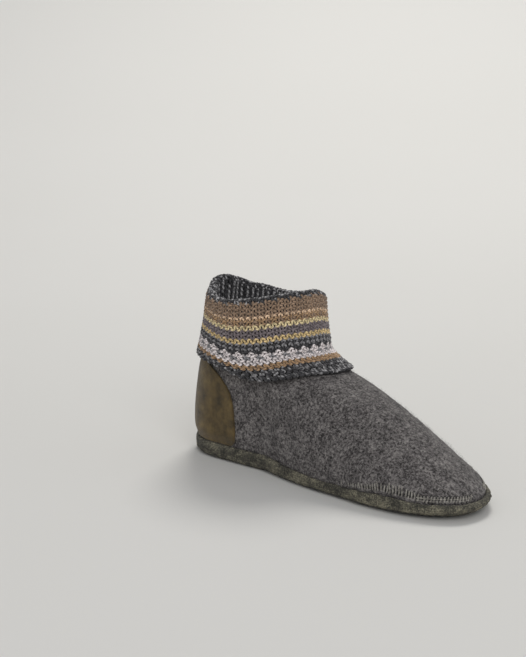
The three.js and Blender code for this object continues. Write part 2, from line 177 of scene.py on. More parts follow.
@dataclass(frozen=True)
class Last:
    """The foot form that every piece is laid on. Lengths are in millimetres, x from the heel."""

    length: float = 262.0
    ball_width: float = 95.0
    fold_height: float = 126.0
    felt_thickness: float = 3.2
    sole_thickness: float = 4.6
    rim_thickness: float = 2.2
    heel_rim: float = 12.5
    toe_rim: float = 9.5
    clearance: float = 0.3
    toe_spring: float = 1.4
    spring_start: float = 0.82
    arch_rise: float = 0.5
    arch_start: float = 0.27
    arch_length: float = 0.19
    heel_edge: float = 6.0
    ball_edge: float = 10.0
    felt_overhang: float = 0.8
    swell_height: float = 8.0
    toe_swing: float = 8.0
    swing_start: float = 0.67
    heel_power: float = 2.15
    felt_top: float = 96.0

    def station(self, turn: np.ndarray) -> tuple[np.ndarray, np.ndarray]:
        """Where a turn round the foot lies.

        Args:
            turn: 0 at the heel, 0.25 on the outer side, 0.5 at the toe and 0.75 on the inner side.

        Returns:
            The place from heel (0) to toe (1), and the side (+1 outer, -1 inner).
        """
        wrapped = turn - np.floor(turn)
        outer = wrapped <= 0.5
        return np.where(outer, 2 * wrapped, 2 - 2 * wrapped), np.where(outer, 1.0, -1.0)

    def lift(self, x: np.ndarray) -> np.ndarray:
        """Rise of the sole's underside above the floor.

        Args:
            x: places from the heel.

        Returns:
            The rise at the toe and under the arch.
        """
        toe = np.clip((x / self.length - self.spring_start) / (1 - self.spring_start), 0, 1)
        arch = np.sin(np.pi * np.clip((x / self.length - self.arch_start) / self.arch_length, 0, 1))
        return self.toe_spring * toe**2 + self.arch_rise * arch**2

    def centre(self, x: np.ndarray) -> np.ndarray:
        """Sideways place of the plan's centre line."""
        past = np.clip((x / self.length - self.swing_start) / (1 - self.swing_start), 0, 1)
        return -self.toe_swing * past**2

    def spine(self, ring: np.ndarray) -> np.ndarray:
        """Points on the plan's centre line, each level with a point of a ring."""
        return np.stack([ring[:, 0], self.centre(ring[:, 0]), ring[:, 2]], axis=-1)

    def rim(self, along: np.ndarray) -> np.ndarray:
        """Height of the rubber rim over the underside."""
        return mix(self.heel_rim, self.toe_rim, smoothstep(along, 0.38, 0.56))

    def ball_rise(self, along: np.ndarray) -> np.ndarray:
        """How much the rubber was drawn up the felt beside the ball and the toe."""
        ball = 2.4 * np.exp(-(((along - 0.71) / 0.07) ** 2))
        return ball + 1.0 * np.exp(-(((along - 0.87) / 0.08) ** 2))

    def edge(self, along: np.ndarray) -> np.ndarray:
        """Width of the rolled edge under the sole."""
        return mix(self.heel_edge, self.ball_edge, smoothstep(along, 0.4, 0.6))

    def section(self, height: np.ndarray, turn: np.ndarray, inset: np.ndarray) -> np.ndarray:
        """Points of level sections.

        Args:
            height: height of each point's section.
            turn: turn of each point round the foot.
            inset: how far the section is drawn in.

        Returns:
            Points, in millimetres.
        """
        along, side = self.station(turn)
        share = height / self.fold_height
        level = {name: LEVELS.read(name, share) for name in LEVELS.columns[1:]}
        back = level["back"] * self.length + inset
        front = level["front"] * self.length - inset
        x = back + (front - back) * (1 - np.cos(np.pi * along)) / 2
        plan_place = x / self.length
        plan = np.where(side > 0, PLAN.read("outer", plan_place), PLAN.read("inner", plan_place))
        half = mix(plan, level["girth"], level["leg"]) * self.ball_width - inset
        heel = self.rounded(x - back, level["back_round"] * self.length, self.heel_power)
        toe = self.rounded(front - x, level["front_round"] * self.length, level["power"])
        low = 1 - smoothstep(share, 0.08, 0.55)
        y = self.centre(x) * low + side * half * heel * toe
        return np.stack([x, y, height + self.lift(x) * low], axis=-1)

    def rounded(self, distance: np.ndarray, length: np.ndarray, power: np.ndarray) -> np.ndarray:
        """Share of the full width at a distance in from a rounded end."""
        away = 1 - np.clip(distance / length, 0, 1)
        return np.maximum(1 - away**power, 0.0) ** (1 / power)

    def felt(self, height: np.ndarray, turn: np.ndarray) -> np.ndarray:
        """Points of the felt's outer face.

        Args:
            height: height of each point.
            turn: turn of each point round the foot.

        Returns:
            Points, drawn in behind the rubber rim and swelling out over it.
        """
        along, _ = self.station(turn)
        above = height - self.rim(along) - 2 * self.clearance
        swell = smoothstep(above, 0, self.swell_height)
        return self.section(height, turn, mix(self.rim_thickness + self.clearance, self.felt_overhang, swell))

    def normal(self, height: np.ndarray, turn: np.ndarray) -> np.ndarray:
        """Outward directions of the felt's face.

        Args:
            height: height of each point.
            turn: turn of each point round the foot.

        Returns:
            Directions of length 1, level near the sole.
        """
        nudge, rise = 0.004, 0.6
        ahead = self.felt(height, turn + nudge) - self.felt(height, turn - nudge)
        up = self.felt(height + rise, turn) - self.felt(np.maximum(height - rise, 0), turn)
        normal = unit(np.cross(up, ahead))
        normal[..., 2] *= smoothstep(height, self.heel_rim, self.heel_rim + self.swell_height)
        return unit(normal)

    def offset(self, height: np.ndarray, turn: np.ndarray, distance: np.ndarray) -> np.ndarray:
        """Points at a distance out from the felt's outer face."""
        height, turn, distance = np.broadcast_arrays(height, turn, distance)
        return self.felt(height, turn) + self.normal(height, turn) * distance[..., None]


def unit(vectors: np.ndarray) -> np.ndarray:
    """Vectors at length 1."""
    return vectors / np.maximum(np.linalg.norm(vectors, axis=-1, keepdims=True), 1e-9)


def ripple(points: np.ndarray, wavelength: float, seed: int) -> np.ndarray:
    """Smooth random relief from a few crossed waves.

    Args:
        points: places, in millimetres.
        wavelength: the relief's typical wavelength.
        seed: seed of the waves' directions.

    Returns:
        A value of about -1 to 1 at each place.
    """
    waves = 9
    rng = np.random.default_rng(seed)
    total = np.zeros(points.shape[:-1])
    for _ in range(waves):
        direction = unit(rng.normal(size=3))
        length = wavelength * rng.uniform(0.7, 1.6)
        total += np.sin(2 * np.pi * (points @ direction) / length + rng.uniform(0, 2 * np.pi))
    return 2 * total / waves


# Meshes
LAST = Last()


def to_frame(points: np.ndarray) -> np.ndarray:
    """Points in metres in the slipper's frame, whose origin is under its middle."""
    return (points - np.array([LAST.length / 2, 0, 0])) * MM


def add_object(name: str, data: bpy.types.ID) -> bpy.types.Object:
    """Adds an object to the scene.

    Args:
        name: its name.
        data: its mesh, curve, camera or light.

    Returns:
        The new object.
    """
    added = bpy.data.objects.new(name, data)
    bpy.context.scene.collection.objects.link(added)
    return added


def loft(name: str, points: np.ndarray, around: bool, through: bool = False,
         marks: np.ndarray | None = None) -> bpy.types.Object:
    """Mesh through a grid of points.

    Args:
        name: the piece's name.
        points: rows of columns of points, in millimetres.
        around: whether each row closes on itself (its last point repeats its first).
        through: whether the last row closes on the first.
        marks: a value from 0 to 1 at each point, stored for the material as the attribute Groove.

    Returns:
        The new object, smooth, with its faces outwards where it is closed.
    """
    rows, columns = points.shape[:2]
    bm = bmesh.new()
    bm.loops.layers.uv.new("Cloth")
    bmesh.ops.create_grid(bm, x_segments=columns - 1, y_segments=rows - 1, size=0.5, calc_uvs=True)
    placed = to_frame(points)
    groove = bm.verts.layers.float.new("Groove") if marks is not None else None
    for vert in bm.verts:
        column = round((vert.co.x + 0.5) * (columns - 1))
        row = round((vert.co.y + 0.5) * (rows - 1))
        vert.co = Vector(placed[row, column])
        if groove is not None:
            vert[groove] = marks[row, column]
    if around or through:
        bmesh.ops.remove_doubles(bm, verts=bm.verts, dist=2e-6)
    bmesh.ops.recalc_face_normals(bm, faces=bm.faces)
    for face in bm.faces:
        face.smooth = True
    mesh = bpy.data.meshes.new(name)
    bm.to_mesh(mesh)
    bm.free()
    return add_object(name, mesh)


def closed_turns(count: int) -> np.ndarray:
    """Turns of a ring's points, the last on the first."""
    return np.linspace(0, 1, count + 1)


def threads(name: str, paths: list[np.ndarray], radius: float, sides: int, cyclic: bool) -> bpy.types.Object:
    """Round threads along paths, as one mesh.

    Args:
        name: the piece's name.
        paths: points of each thread, in millimetres.
        radius: the thread's radius, in millimetres.
        sides: 4 or 6 faces round the thread.
        cyclic: whether each thread closes on itself.

    Returns:
        The new object. Its points follow the paths, with one ring for each path point.
    """
    curve = bpy.data.curves.new(name, "CURVE")
    curve.dimensions = "3D"
    curve.bevel_depth = radius * MM
    curve.bevel_resolution = 1 if sides == 6 else 0
    curve.use_fill_caps = not cyclic
    curve.twist_mode = "MINIMUM"
    for path in paths:
        placed = to_frame(path)
        spline = curve.splines.new("POLY")
        spline.points.add(len(placed) - 1)
        spline.points.foreach_set("co", np.c_[placed, np.ones(len(placed))].ravel())
        spline.use_cyclic_u = cyclic
        spline.use_smooth = True
    former = add_object(name + "_path", curve)
    bpy.context.view_layer.update()
    mesh = bpy.data.meshes.new_from_object(former.evaluated_get(bpy.context.evaluated_depsgraph_get()))
    bpy.data.objects.remove(former)
    mesh.name = name
    return add_object(name, mesh)


def place(piece: bpy.types.Object, material: bpy.types.Material, slot: str, *nodes: str) -> None:
    """Dresses a piece, puts it on the body and hides the CAD nodes that it replaces.

    Args:
        piece: the piece.
        material: its material.
        slot: not used.
        nodes: CAD nodes that it replaces.
    """
    piece.data.materials.clear()
    piece.data.materials.append(material)
    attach(piece, "root")
    if nodes:
        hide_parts(*nodes)
    log.info("%s: %d faces", piece.name, len(piece.data.polygons))


# Materials
def linear(code: str) -> tuple[float, float, float, float]:
    """Turns a colour to linear.

    Args:
        code: sRGB hex code.

    Returns:
        The linear colour, opaque.
    """
    parts = [int(code[i : i + 2], 16) / 255 for i in (1, 3, 5)]
    rgb = [p / 12.92 if p <= 0.04045 else ((p + 0.055) / 1.055) ** 2.4 for p in parts]
    return (*rgb, 1.0)


def add_node(tree: bpy.types.NodeTree, kind: str, settings: dict, sockets: dict,
             stops: tuple[tuple[float, str], ...] = ()) -> bpy.types.Node:
    """Adds a node.

    Args:
        tree: the node tree.
        kind: the node's type name.
        settings: its own settings by name.
        sockets: its inputs by name or number, each a value or another node's output.
        stops: places and hex codes of its colour ramp, where it has one.

    Returns:
        The node.
    """
    node = tree.nodes.new(kind)
    for key, value in settings.items():
        setattr(node, key, value)
    for key, value in sockets.items():
        if isinstance(value, bpy.types.NodeSocket):
            tree.links.new(value, node.inputs[key])
        else:
            node.inputs[key].default_value = value
    if stops:
        elements = node.color_ramp.elements
        while len(elements) < len(stops):
            elements.new(0.5)
        for element, (position, code) in zip(elements, stops):
            element.position = position
            element.color = linear(code)
    return node


@dataclass(frozen=True)
class Finish:
    """A finish. Each kind works out the sockets of its surface from a place on the piece."""

    name: str = "finish"

    def sockets(self, tree: bpy.types.NodeTree, place_on: bpy.types.NodeSocket) -> dict:
        """Sockets of the surface, which each kind of finish gives."""
        raise NotImplementedError

    def build(self) -> bpy.types.Material:
        """Makes the material.

        Returns:
            The material, with one principled surface.
        """
        material = bpy.data.materials.new(self.name)
        material.use_nodes = True
        tree = material.node_tree
        tree.nodes.clear()
        place_on = add_node(tree, "ShaderNodeTexCoord", {}, {}).outputs["Object"]
        shader = add_node(tree, "ShaderNodeBsdfPrincipled", {}, self.sockets(tree, place_on))
        add_node(tree, "ShaderNodeOutputMaterial", {}, {"Surface": shader.outputs["BSDF"]})
        return material


@dataclass(frozen=True)
class WoolFelt(Finish):
    """Boiled wool felt, milled from mixed grey fibres: a matt, mottled face with a fine nap.

    Its fibres are some 0.02 mm thick, too fine to show, so they are drawn as clumps of 1.7 mm and
    a nap of 0.45 mm.
    """

    name: str = "boiled_wool_felt"
    tones: tuple[str, str, str, str] = ("#2b2929", "#565252", "#7b7776", "#a5a09d")
    spread: tuple[float, float, float, float] = (0.37, 0.47, 0.55, 0.68)
    clump_mm: float = 1.7
    broad_clumps: float = 5.0
    mottle: float = 0.24
    fibre_mm: float = 0.45
    relief_mm: float = 0.9
    sheen: float = 0.12

    def sockets(self, tree: bpy.types.NodeTree, place_on: bpy.types.NodeSocket) -> dict:
        """Works out the felt's surface.

        Args:
            tree: the material's node tree.
            place_on: place on the piece.

        Returns:
            Sockets of the surface.
        """
        clumps = add_node(tree, "ShaderNodeTexNoise", {}, {
            "Vector": place_on, "Scale": 1 / (self.clump_mm * MM), "Detail": 5.0, "Roughness": 0.72,
            "Distortion": 0.6})
        broad = add_node(tree, "ShaderNodeTexNoise", {}, {
            "Vector": place_on, "Scale": 1 / (self.clump_mm * self.broad_clumps * MM), "Detail": 3.0})
        blend = add_node(tree, "ShaderNodeMath", {"operation": "MULTIPLY_ADD"}, {
            0: broad.outputs["Fac"], 1: self.mottle, 2: clumps.outputs["Fac"]})
        level = add_node(tree, "ShaderNodeMath", {"operation": "SUBTRACT"}, {
            0: blend.outputs[0], 1: self.mottle / 2})
        shades = tuple(zip(self.spread, self.tones))
        colour = add_node(tree, "ShaderNodeValToRGB", {}, {"Fac": level.outputs[0]}, shades)
        fibres = add_node(tree, "ShaderNodeTexNoise", {}, {
            "Vector": place_on, "Scale": 1 / (self.fibre_mm * MM), "Detail": 3.0, "Roughness": 0.8})
        height = add_node(tree, "ShaderNodeMath", {"operation": "MULTIPLY_ADD"}, {
            0: fibres.outputs["Fac"], 1: 0.5, 2: clumps.outputs["Fac"]})
        bump = add_node(tree, "ShaderNodeBump", {}, {
            "Strength": 0.85, "Distance": self.relief_mm * MM, "Height": height.outputs[0]})
        return {
            "Base Color": colour.outputs["Color"], "Roughness": 0.95, "Specular IOR Level": 0.2,
            "Sheen Weight": self.sheen, "Sheen Roughness": 0.5, "Normal": bump.outputs["Normal"]}


@dataclass(frozen=True)
class CrepeRubber(Finish):
    """Moulded crepe rubber: dull olive black with paler scuffed patches and a grainy face."""

    name: str = "crepe_rubber"
    dark: str = "#2b2a25"
    base: str = "#5a574c"
    scuff: str = "#a19b85"
    groove_darkening: str = "#14130f"
    patch_mm: float = 12.0
    grain_mm: float = 0.9
    speckle: float = 1.3
    relief_mm: float = 1.1
    roughness: tuple[float, float] = (0.62, 0.85)

    def sockets(self, tree: bpy.types.NodeTree, place_on: bpy.types.NodeSocket) -> dict:
        """Works out the rubber's surface.

        Args:
            tree: the material's node tree.
            place_on: place on the piece.

        Returns:
            Sockets of the surface.
        """
        patches = add_node(tree, "ShaderNodeTexNoise", {}, {
            "Vector": place_on, "Scale": 1 / (self.patch_mm * MM), "Detail": 6.0, "Roughness": 0.7})
        grain = add_node(tree, "ShaderNodeTexNoise", {}, {
            "Vector": place_on, "Scale": 1 / (self.grain_mm * MM), "Detail": 4.0, "Roughness": 0.75})
        specks = add_node(tree, "ShaderNodeMath", {"operation": "MULTIPLY_ADD"}, {
            0: grain.outputs["Fac"], 1: self.speckle, 2: -self.speckle / 2})
        level = add_node(tree, "ShaderNodeMath", {"operation": "ADD"}, {
            0: patches.outputs["Fac"], 1: specks.outputs[0]})
        colour = add_node(tree, "ShaderNodeValToRGB", {}, {"Fac": level.outputs[0]}, (
            (0.33, self.dark), (0.51, self.base), (0.7, self.scuff)))
        bump = add_node(tree, "ShaderNodeBump", {}, {
            "Strength": 0.9, "Distance": self.relief_mm * MM, "Height": grain.outputs["Fac"]})
        rough = add_node(tree, "ShaderNodeMapRange", {}, {
            "Value": patches.outputs["Fac"], "To Min": self.roughness[0], "To Max": self.roughness[1]})
        # The tread's grooves are coloured towards near black, the deeper the groove the darker.
        groove = add_node(tree, "ShaderNodeAttribute", {"attribute_name": "Groove"}, {})
        inked = add_node(tree, "ShaderNodeMix", {"data_type": "RGBA"}, {
            "Factor": groove.outputs["Fac"], "A": colour.outputs["Color"], "B": linear(self.groove_darkening)})
        return {
            "Base Color": inked.outputs["Result"], "Roughness": rough.outputs["Result"], "IOR": 1.52,
            "Normal": bump.outputs["Normal"]}


@dataclass(frozen=True)
class Suede(Finish):
    """Split suede, buffed: olive tan with a short nap that takes the light unevenly. Its tones are darker
    than the suede's own colour: painted shadow of the pair's second slipper, which is not in the scene.
    """

    name: str = "split_suede"
    # Tones set darker than the suede's own olive tan: painted shadow of the pair's second slipper, which is
    # not built.
    dark: str = "#3a301c"
    base: str = "#5c4c2d"
    light: str = "#7a663d"
    rub_mm: float = 9.0
    nap_mm: float = 0.5
    relief_mm: float = 0.4

    def sockets(self, tree: bpy.types.NodeTree, place_on: bpy.types.NodeSocket) -> dict:
        """Works out the suede's surface.

        Args:
            tree: the material's node tree.
            place_on: place on the piece.

        Returns:
            Sockets of the surface.
        """
        rubbed = add_node(tree, "ShaderNodeTexNoise", {}, {
            "Vector": place_on, "Scale": 1 / (self.rub_mm * MM), "Detail": 6.0, "Roughness": 0.65})
        colour = add_node(tree, "ShaderNodeValToRGB", {}, {"Fac": rubbed.outputs["Fac"]}, (
            (0.3, self.dark), (0.5, self.base), (0.72, self.light)))
        nap = add_node(tree, "ShaderNodeTexNoise", {}, {
            "Vector": place_on, "Scale": 1 / (self.nap_mm * MM), "Detail": 3.0, "Roughness": 0.8})
        bump = add_node(tree, "ShaderNodeBump", {}, {
            "Strength": 0.5, "Distance": self.relief_mm * MM, "Height": nap.outputs["Fac"]})
        return {
            "Base Color": colour.outputs["Color"], "Roughness": 0.92, "Specular IOR Level": 0.2,
            "Sheen Weight": 0.3, "Sheen Roughness": 0.5, "Normal": bump.outputs["Normal"]}


@dataclass(frozen=True)
class WovenTape(Finish):
    """Woven polyester tape: a dull red with a fine rib."""

    name: str = "woven_tape"
    base: str = "#8f2418"
    dark: str = "#5e140d"
    rib_mm: float = 0.5
    relief_mm: float = 0.2
    band_spacing: float = 0.314  # spacing of a wave texture's bands at scale 1, in metres

    def sockets(self, tree: bpy.types.NodeTree, place_on: bpy.types.NodeSocket) -> dict:
        """Works out the tape's surface.

        Args:
            tree: the material's node tree.
            place_on: place on the piece.

        Returns:
            Sockets of the surface.
        """
        ribs = add_node(tree, "ShaderNodeTexWave", {"bands_direction": "X"}, {
            "Vector": place_on, "Scale": self.band_spacing / (self.rib_mm * MM), "Distortion": 0.4})
        colour = add_node(tree, "ShaderNodeValToRGB", {}, {"Fac": ribs.outputs["Fac"]}, (
            (0.1, self.dark), (0.6, self.base)))
        bump = add_node(tree, "ShaderNodeBump", {}, {
            "Strength": 0.5, "Distance": self.relief_mm * MM, "Height": ribs.outputs["Fac"]})
        return {"Base Color": colour.outputs["Color"], "Roughness": 0.7, "Normal": bump.outputs["Normal"]}


@dataclass(frozen=True)
class WoolYarn(Finish):
    """Two-ply wool yarn: its colour is in the piece's attribute, its twist and fuzz are a bump, and the same
    relief darkens and lightens the colour as painted shade and highlight.
    """

    name: str = "two_ply_wool"
    ply_groove_shade: float = 0.48
    highlight: float = 1.55
    fuzz_mm: float = 0.6
    relief_mm: float = 0.6

    def sockets(self, tree: bpy.types.NodeTree, place_on: bpy.types.NodeSocket) -> dict:
        """Works out the yarn's surface.

        Args:
            tree: the material's node tree.
            place_on: place on the piece.

        Returns:
            Sockets of the surface.
        """
        dye = add_node(tree, "ShaderNodeAttribute", {"attribute_name": "Yarn"}, {})
        ply = add_node(tree, "ShaderNodeAttribute", {"attribute_name": "Ply"}, {})
        parts = add_node(tree, "ShaderNodeSeparateXYZ", {}, {"Vector": ply.outputs["Vector"]})
        angle = add_node(tree, "ShaderNodeMath", {"operation": "ARCTAN2"}, {
            0: parts.outputs["Z"], 1: parts.outputs["Y"]})
        twist = add_node(tree, "ShaderNodeMath", {"operation": "MULTIPLY_ADD"}, {
            0: angle.outputs[0], 1: 2.0, 2: parts.outputs["X"]})
        wave = add_node(tree, "ShaderNodeMath", {"operation": "SINE"}, {0: twist.outputs[0]})
        fuzz = add_node(tree, "ShaderNodeTexNoise", {}, {
            "Vector": place_on, "Scale": 1 / (self.fuzz_mm * MM), "Detail": 4.0, "Roughness": 0.8})
        height = add_node(tree, "ShaderNodeMath", {"operation": "MULTIPLY_ADD"}, {
            0: wave.outputs[0], 1: 0.35, 2: fuzz.outputs["Fac"]})
        bump = add_node(tree, "ShaderNodeBump", {}, {
            "Strength": 0.8, "Distance": self.relief_mm * MM, "Height": height.outputs[0]})
        # Painted shade and highlight: the dye is darkened in the grooves between the plies and lightened on
        # their crests; the fuzz noise adds random tone.
        shade = add_node(tree, "ShaderNodeMapRange", {}, {
            "Value": height.outputs[0], "From Min": 0.1, "From Max": 0.95,
            "To Min": 1 - self.ply_groove_shade, "To Max": self.highlight})
        colour = add_node(tree, "ShaderNodeMix", {"data_type": "RGBA", "blend_type": "MULTIPLY"}, {
            "Factor": 1.0, "A": dye.outputs["Color"], "B": shade.outputs["Result"]})
        return {
            "Base Color": colour.outputs["Result"], "Roughness": 0.95, "Specular IOR Level": 0.2,
            "Sheen Weight": 0.3, "Sheen Roughness": 0.5, "Normal": bump.outputs["Normal"]}


@dataclass(frozen=True)
class PaintedBoard(Finish):
    """Matt painted board of the floor and backdrop, a little cloudy."""

    name: str = "painted_board"
    light: str = "#e6e5e3"
    shade: str = "#e2e1de"

    def sockets(self, tree: bpy.types.NodeTree, place_on: bpy.types.NodeSocket) -> dict:
        """Works out the board's surface.

        Args:
            tree: the material's node tree.
            place_on: place on the board.

        Returns:
            Sockets of the surface.
        """
        cloud = add_node(tree, "ShaderNodeTexNoise", {}, {"Vector": place_on, "Scale": 1.2, "Detail": 2.0})
        colour = add_node(tree, "ShaderNodeValToRGB", {}, {"Fac": cloud.outputs["Fac"]}, (
            (0.2, self.shade), (0.8, self.light)))
        return {"Base Color": colour.outputs["Color"], "Roughness": 0.7, "Specular IOR Level": 0.25}


# Pieces
@dataclass
class RubberSole:
    """Rubber cup sole with a rolled edge, a groove round its side and a wavy cross tread.

    Its profiles hold an inset and a rise from the side groove's middle or from the rim's top.
    """

    around: int = 1600
    across_rows: int = 27
    tread_pitch: float = 4.7
    tread_start: float = 94.3
    tread_reach: tuple[float, float] = (80.0, 112.0)
    groove_depth: float = 1.15
    groove_width: float = 0.75
    waves: tuple[tuple[float, float, float], ...] = ((1.1, 19, 41), (0.5, 6.5, 9), (0.3, 3.1, -5))
    crepe_pitch: float = 3.1
    crepe_depth: float = 0.4
    inner_line: float = 6.5
    line_width: float = 0.7
    line_depth: float = 0.5
    line_reach: tuple[float, float] = (120.0, 165.0)
    side_groove: float = 5.2
    groove_profile: tuple[tuple[float, float], ...] = ((0.05, -0.5), (0.3, 0.0), (0.35, 0.3), (0.05, 0.9))
    rim_profile: tuple[tuple[float, float], ...] = (
        (0.15, -0.9), (0.4, -0.35), (0.8, 0.0), (1.3, 0.0), (1.8, -0.2))
    lip: float = 2.2
    roll_height: float = 4.3
    roughness: float = 0.28
    rim_waver: float = 0.35
    curl: float = 1.5
    marks: list[np.ndarray] = field(default_factory=list)

    def tread(self, points: np.ndarray, inward: np.ndarray) -> np.ndarray:
        """Depth of the tread's grooves.

        Args:
            points: places on the underside.
            inward: distance of each place from the sole's outline.

        Returns:
            How far the underside is cut in at each place.
        """
        x, y = points[..., 0], points[..., 1]
        wave = sum(size * np.sin(y / across + x / along) for size, across, along in self.waves)
        course = (x + wave - self.tread_start) / self.tread_pitch
        groove = np.exp(-(((course - np.round(course)) * self.tread_pitch / self.groove_width) ** 2))
        front = smoothstep(x, *self.tread_reach)
        fine = (x + 0.9 * wave + 0.5 * ripple(points, 6.0, 8)) / self.crepe_pitch
        crepe = (0.5 + 0.5 * np.cos(2 * np.pi * fine)) ** 2 * (0.75 + 0.35 * ripple(points, 9.0, 9))
        line = np.exp(-(((inward - self.inner_line) / self.line_width) ** 2))
        return (
            self.groove_depth * groove * front
            + self.crepe_depth * crepe * (1 - 0.8 * front)
            + self.line_depth * line * (1 - smoothstep(x, *self.line_reach))
        )

    def underside(self, turn: np.ndarray) -> list[np.ndarray]:
        """Rows of the underside.

        Args:
            turn: turns of each row's points.

        Returns:
            Rows from the middle line to where the edge starts to roll.
        """
        along, _ = LAST.station(turn)
        zero = np.zeros_like(turn)
        edge = LAST.edge(along)
        rim = LAST.section(zero, turn, edge)
        spine = LAST.spine(rim)
        rows = []
        for share in np.linspace(0, 1, self.across_rows):
            row = mix(spine, rim, share)
            depth = self.tread(row, edge + np.linalg.norm(rim - row, axis=-1))
            row[:, 2] += depth
            rows.append(row)
            self.marks.append(depth / self.groove_depth)
        return rows

    def wall(self, turn: np.ndarray) -> list[np.ndarray]:
        """Rows of the sole's side.

        Args:
            turn: turns of each row's points.

        Returns:
            Rows of the rolled edge, the side with its groove, the rim and the rim's inner face.
        """
        along, _ = LAST.station(turn)
        edge, top = LAST.edge(along), LAST.rim(along) + LAST.ball_rise(along)
        curl = self.curl * np.exp(-(((along - 0.86) / 0.16) ** 2))
        level = np.zeros_like(turn)
        steps = [(edge * (1 - math.sin(a)), level + self.roll_height * (1 - math.cos(a)))
                 for a in np.radians([18, 36, 54, 72, 90])]
        steps += [(inset, level + self.side_groove + rise) for inset, rise in self.groove_profile]
        low, high = self.side_groove + self.groove_profile[-1][1], top + self.rim_profile[0][1]
        steps += [(0.0, mix(low, high, share)) for share in (0.25, 0.5, 0.75)]
        steps += [(inset, top + rise) for inset, rise in self.rim_profile]
        steps += [(LAST.rim_thickness, mix(top - 0.5, LAST.sole_thickness, share))
                  for share in (0.0, 0.5, 1.0)]
        rows = []
        nose = np.exp(-(((1 - along) / 0.16) ** 2))
        for inset, rise in steps:
            band = np.exp(-(((rise - top * 0.62) / 2.6) ** 2))
            bulge = self.lip * nose * band if np.max(inset) < LAST.rim_thickness else 0
            row = LAST.section(np.zeros_like(turn), turn, inset - bulge)
            depth = self.tread(row, inset) * smoothstep(inset / edge, 0.05, 0.3) * (rise < self.roll_height)
            self.marks.append(depth / self.groove_depth)
            lifted = smoothstep(1 - inset / edge, 0, 1) * (1 - smoothstep(rise / top, 0.3, 1))
            row[:, 2] += rise + depth + curl * lifted
            if 0 < np.max(rise) and np.max(inset) < LAST.rim_thickness:
                outward = unit(row - row.mean(axis=0)) * np.array([1, 1, 0])
                rough = ripple(row, 6.0, 3) + 0.6 * ripple(row, 2.6, 4)
                row += outward * (self.roughness * rough * smoothstep(rise, 0.5, 3))[:, None]
                row[:, 2] += self.rim_waver * ripple(row, 9.0, 5) * smoothstep(rise / top, 0.5, 1)
            rows.append(row)
        return rows

    def floor(self, turn: np.ndarray) -> list[np.ndarray]:
        """Rows of the floor inside the rim.

        Args:
            turn: turns of each row's points.

        Returns:
            Rows from the floor's edge to its middle line.
        """
        rim = LAST.section(np.zeros_like(turn), turn, LAST.rim_thickness)
        rim[:, 2] += LAST.sole_thickness
        return [mix(rim, LAST.spine(rim), share) for share in (0.33, 0.66, 1.0)]

    def build(self) -> None:
        """Makes and dresses the sole."""
        turn = closed_turns(self.around)
        rows = self.underside(turn) + self.wall(turn) + self.floor(turn)
        plain = [np.zeros_like(turn)] * (len(rows) - len(self.marks))
        piece = loft("rubber_sole", np.array(rows), around=True, marks=np.array(self.marks + plain))
        place(piece, CrepeRubber().build(), "outsole", "outsole")


@dataclass(frozen=True)
class Trough:
    """A soft crease or ridge laid on one side of the upper, in the shoe's own sizes."""

    x: float
    height: float
    side: float
    slope: float
    length: float
    width: float
    depth: float
    side_blend: float = 14.0

    def relief(self, points: np.ndarray) -> np.ndarray:
        """How far the crease moves the felt.

        Args:
            points: places on the felt.

        Returns:
            The distance outwards at each place.
        """
        angle = math.radians(self.slope)
        dx, dz = points[..., 0] - self.x, points[..., 2] - self.height
        run = (dx * math.cos(angle) + dz * math.sin(angle)) / self.length
        cross = (dz * math.cos(angle) - dx * math.sin(angle)) / self.width
        blend = self.side_blend
        near = smoothstep(points[..., 1] * self.side, -blend, blend) if self.side else 1.0
        return -self.depth * np.exp(-(run**2) - cross**2) * near


